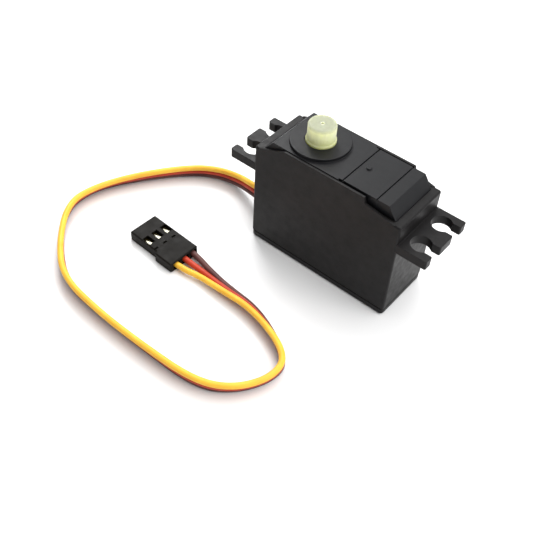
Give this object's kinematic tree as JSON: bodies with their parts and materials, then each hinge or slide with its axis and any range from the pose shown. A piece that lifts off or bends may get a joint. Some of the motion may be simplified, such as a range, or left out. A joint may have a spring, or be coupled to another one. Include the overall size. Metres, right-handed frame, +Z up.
{
  "type": "servo motor",
  "caption": "Small rotary servo with an oblong black case, open slotted mounting ears, a pale splined output shaft and a flat three-wire lead ending in a pin socket plug.",
  "frame": {"origin": "on the floor under the middle of the case footprint, the cable left out", "axes": "+Z up along the output shaft, +X towards the motor end of the case, -X towards the output and cable end"},
  "size_m": [0.0793, 0.0546, 0.0329],
  "materials": {
    "black_plastic": "moulded ABS, fine satin texture",
    "zinc_steel": "zinc-plated steel",
    "nylon": "natural nylon, slightly translucent",
    "brass": "turned brass",
    "ground_steel": "ground steel pin stock",
    "motor_steel": "nickel-plated pressed steel",
    "magnet": "sintered ferrite or printed carbon",
    "copper": "copper",
    "bell_plastic": "white moulded nylon",
    "tin": "tin-plated brass",
    "board": "green glass-epoxy board",
    "chip": "epoxy moulding",
    "capacitor": "blue sleeved can",
    "lead_insulation": "PVC insulation",
    "black_rubber": "moulded rubber",
    "yellow_insulation": "soft PVC insulation, satin",
    "red_insulation": "soft PVC insulation, satin",
    "brown_insulation": "soft PVC insulation, satin",
    "plug_plastic": "moulded polyester, fine matt"
  },
  "bodies": {
    "case": {"top_case": "black_plastic", "middle_case": "black_plastic", "bottom_cover": "black_plastic", "case_screws": "zinc_steel", "output_bushing": "brass", "gear_pin": "ground_steel", "gear_spacer": "brass", "motor_can": "motor_steel", "motor_magnets": "magnet", "motor_end_bell": "bell_plastic", "motor_brushes": "copper", "motor_terminals": "brass", "potentiometer_body": "bell_plastic", "potentiometer_track": "magnet", "potentiometer_leads": "tin", "circuit_board": "board", "control_chip": "chip", "driver_transistors": "chip", "smoothing_capacitor": "capacitor", "inner_leads": "lead_insulation", "strain_relief": "black_rubber", "wire_yellow": "yellow_insulation", "wire_red": "red_insulation", "wire_brown": "brown_insulation", "plug_housing": "plug_plastic", "plug_terminals": "tin"},
    "rotor": {"motor_shaft": "ground_steel", "motor_pinion": "brass", "motor_armature": "motor_steel", "motor_windings": "copper", "motor_commutator": "copper"},
    "first_reduction": {"first_gear": "nylon"},
    "second_reduction": {"second_gear": "nylon"},
    "third_reduction": {"third_gear": "nylon"},
    "output": {"output_gear": "nylon", "potentiometer_shaft": "ground_steel", "potentiometer_wiper": "bell_plastic"}
  },
  "joints": [
    {"name": "motor_spin", "type": "hinge", "parent": "case", "child": "rotor", "pos_m": [0.0073, 0, 0.021], "axis": [0, 0, 1], "range_deg": [-6137.49, 6137.49]},
    {"name": "first_gear_spin", "type": "hinge", "parent": "case", "child": "first_reduction", "pos_m": [0.0004, 0, 0.021], "axis": [0, 0, 1], "range_deg": [-1705.86, 1705.86]},
    {"name": "second_gear_spin", "type": "hinge", "parent": "case", "child": "second_reduction", "pos_m": [-0.0068, 0, 0.021], "axis": [0, 0, 1], "range_deg": [-569.29, 569.29]},
    {"name": "third_gear_spin", "type": "hinge", "parent": "case", "child": "third_reduction", "pos_m": [0.0004, 0, 0.021], "axis": [0, 0, 1], "range_deg": [-235, 235]},
    {"name": "output_turn", "type": "hinge", "parent": "case", "child": "output", "pos_m": [-0.0068, 0, 0.021], "axis": [0, 0, 1], "range_deg": [-90.5, 90.5]}
  ],
  "couplings": [
    {"joint": "first_gear_spin", "follows": "motor_spin", "ratio": -0.27778},
    {"joint": "second_gear_spin", "follows": "motor_spin", "ratio": 0.092593},
    {"joint": "third_gear_spin", "follows": "motor_spin", "ratio": -0.038126},
    {"joint": "output_turn", "follows": "motor_spin", "ratio": 0.014664}
  ]
}
